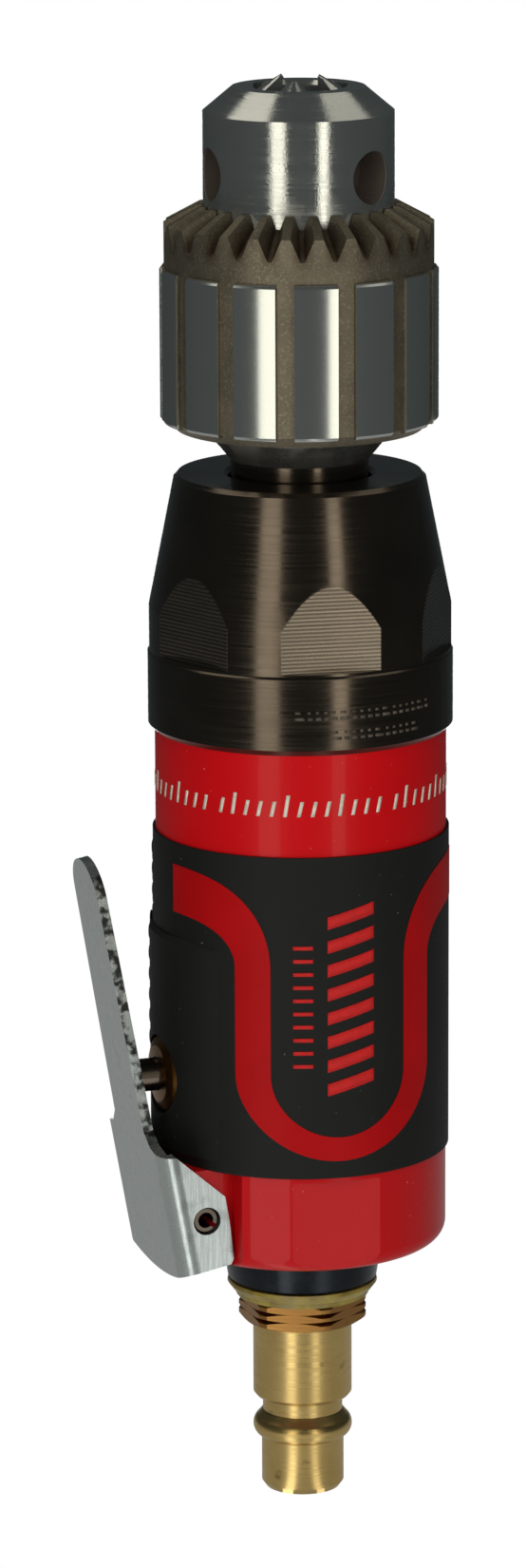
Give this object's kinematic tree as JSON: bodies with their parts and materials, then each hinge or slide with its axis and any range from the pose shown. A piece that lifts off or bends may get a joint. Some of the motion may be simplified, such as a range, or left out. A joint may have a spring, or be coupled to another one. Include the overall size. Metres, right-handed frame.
{
  "type": "straight air drill",
  "caption": "Straight pneumatic hand drill: keyed chuck, planetary gear, vane motor, throttle lever, rubber grip and quick-connect inlet plug.",
  "frame": {"origin": "tip of the inlet plug, on the tool axis", "axes": "+Z along the tool axis towards the chuck, -Y towards the side with the U-shaped inlay"},
  "size_m": [0.0454, 0.0364, 0.1727],
  "materials": {
    "red_enamel": "gloss enamel",
    "grip_rubber": "matte",
    "red_inlay": "satin",
    "black_oxide": "black oxide",
    "chrome_lever": "satin chrome",
    "chuck_steel": "ground and phosphated",
    "brass": "brushed",
    "bronze": "turned",
    "seal_rubber": "matte",
    "washer_plastic": "translucent",
    "felt": "felt",
    "spring_steel": "bright",
    "cast_iron": "ground",
    "vane_composite": "phenolic",
    "gear_steel": "ground",
    "bearing_steel": "polished"
  },
  "bodies": {
    "body": {"air_plug": "brass", "clamp_nut": "black_oxide", "cylinder_dowel": "spring_steel", "exhaust_ring": "black_oxide", "front_motor_bearing_balls": "bearing_steel", "front_motor_bearing_outer_ring": "bearing_steel", "front_plate": "cast_iron", "front_spindle_bearing_balls": "bearing_steel", "front_spindle_bearing_outer_ring": "bearing_steel", "grip_inlay": "red_inlay", "grip_sleeve": "grip_rubber", "housing": "red_enamel", "inlet_bushing": "black_oxide", "inlet_screen": "bearing_steel", "lever_pin": "black_oxide", "motor_cylinder": "cast_iron", "muffler_felt": "felt", "outer_spacer": "bearing_steel", "rear_motor_bearing_balls": "bearing_steel", "rear_motor_bearing_outer_ring": "bearing_steel", "rear_plate": "cast_iron", "rear_spindle_bearing_balls": "bearing_steel", "rear_spindle_bearing_outer_ring": "bearing_steel", "ring_gear": "gear_steel", "sealing_washer": "washer_plastic", "valve_bush": "bronze", "valve_oring": "seal_rubber", "valve_spring": "spring_steel"},
    "lever": {"throttle_lever": "chrome_lever"},
    "valve": {"valve_plunger": "black_oxide", "valve_poppet": "bronze", "poppet_seal": "seal_rubber"},
    "spindle": {"spindle": "gear_steel", "planet_pins": "gear_steel", "chuck_body": "chuck_steel", "chuck_screw": "chuck_steel", "carrier_spacer": "bearing_steel", "inner_spacer": "bearing_steel", "rear_spindle_bearing_inner_ring": "bearing_steel", "front_spindle_bearing_inner_ring": "bearing_steel", "chuck_thrust_washer": "chuck_steel"},
    "rotor": {"rotor": "gear_steel", "rotor_vanes": "vane_composite", "sun_pinion": "gear_steel", "rear_motor_bearing_inner_ring": "bearing_steel", "front_motor_bearing_inner_ring": "bearing_steel"},
    "planet_1": {"planet_gear_1": "gear_steel"},
    "planet_2": {"planet_gear_2": "gear_steel"},
    "planet_3": {"planet_gear_3": "gear_steel"},
    "chuck_sleeve": {"chuck_sleeve": "chuck_steel", "chuck_split_nut": "chuck_steel"},
    "jaw_1": {"chuck_jaw_1": "chuck_steel"},
    "jaw_2": {"chuck_jaw_2": "chuck_steel"},
    "jaw_3": {"chuck_jaw_3": "chuck_steel"}
  },
  "joints": [
    {"name": "lever_press", "type": "hinge", "parent": "body", "child": "lever", "pos_m": [-0.01494, -0.00544, 0.038], "axis": [-0.342, 0.9397, 0], "range_deg": [0, 10], "stiffness_Nm_per_rad": 0.5, "springref_deg": -8.59},
    {"name": "valve_slide", "type": "slide", "parent": "body", "child": "valve", "axis": [0.9397, 0.342, 0], "range_m": [0, 0.00275], "deforming": ["valve_spring"]},
    {"name": "spindle_spin", "type": "hinge", "parent": "body", "child": "spindle", "pos_m": [0, 0, 0.12], "axis": [0, 0, 1], "continuous": true},
    {"name": "rotor_spin", "type": "hinge", "parent": "body", "child": "rotor", "pos_m": [0, 0, 0.08], "axis": [0, 0, 1], "continuous": true},
    {"name": "planet_1_spin", "type": "hinge", "parent": "spindle", "child": "planet_1", "pos_m": [0, 0.0075, 0.1], "axis": [0, 0, 1], "continuous": true},
    {"name": "planet_2_spin", "type": "hinge", "parent": "spindle", "child": "planet_2", "pos_m": [-0.0065, -0.00375, 0.1], "axis": [0, 0, 1], "continuous": true},
    {"name": "planet_3_spin", "type": "hinge", "parent": "spindle", "child": "planet_3", "pos_m": [0.0065, -0.00375, 0.1], "axis": [0, 0, 1], "continuous": true},
    {"name": "chuck_sleeve_turn", "type": "hinge", "parent": "spindle", "child": "chuck_sleeve", "pos_m": [0, 0, 0.144], "axis": [0, 0, 1], "range_deg": [-1800, 2570]},
    {"name": "jaw_1_slide", "type": "slide", "parent": "spindle", "child": "jaw_1", "axis": [0.0449, 0.2549, 0.9659], "range_m": [-0.01, 0.00701]},
    {"name": "jaw_2_slide", "type": "slide", "parent": "spindle", "child": "jaw_2", "axis": [-0.2432, -0.0885, 0.9659], "range_m": [-0.01, 0.00701]},
    {"name": "jaw_3_slide", "type": "slide", "parent": "spindle", "child": "jaw_3", "axis": [0.1983, -0.1664, 0.9659], "range_m": [-0.01, 0.00701]}
  ],
  "couplings": [
    {"joint": "valve_slide", "follows": "lever_press", "m_per_rad": 0.01575},
    {"joint": "rotor_spin", "follows": "spindle_spin", "ratio": 4},
    {"joint": "planet_1_spin", "follows": "spindle_spin", "ratio": -3},
    {"joint": "planet_2_spin", "follows": "spindle_spin", "ratio": -3},
    {"joint": "planet_3_spin", "follows": "spindle_spin", "ratio": -3},
    {"joint": "jaw_1_slide", "follows": "chuck_sleeve_turn", "m_per_rad": -0.00022282},
    {"joint": "jaw_2_slide", "follows": "chuck_sleeve_turn", "m_per_rad": -0.00022282},
    {"joint": "jaw_3_slide", "follows": "chuck_sleeve_turn", "m_per_rad": -0.00022282}
  ]
}
